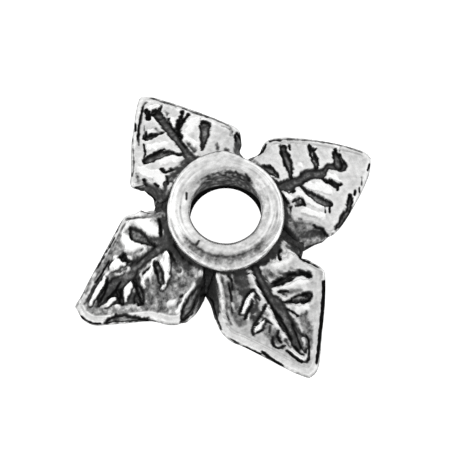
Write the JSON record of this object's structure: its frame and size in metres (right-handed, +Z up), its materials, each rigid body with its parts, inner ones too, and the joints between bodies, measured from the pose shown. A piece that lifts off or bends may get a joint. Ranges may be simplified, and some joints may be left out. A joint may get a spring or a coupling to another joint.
{
  "type": "bead cap",
  "caption": "Cast metal bead cap: a round collar frames the thread hole, and pointed, veined leaves slope down from it in a cross over a hollow underside.",
  "frame": {"origin": "on the thread hole's axis, in the plane that the leaf tips stand on", "axes": "+Z up along the thread hole towards the collar, +X and +Y along two of the leaves"},
  "size_m": [0.0119, 0.0121, 0.0035],
  "materials": {
    "antiqued_metal": "polished on the high places, blackened in the veins and round the collar"
  },
  "bodies": {
    "root": {"bead_cap": "antiqued_metal"}
  },
  "joints": []
}
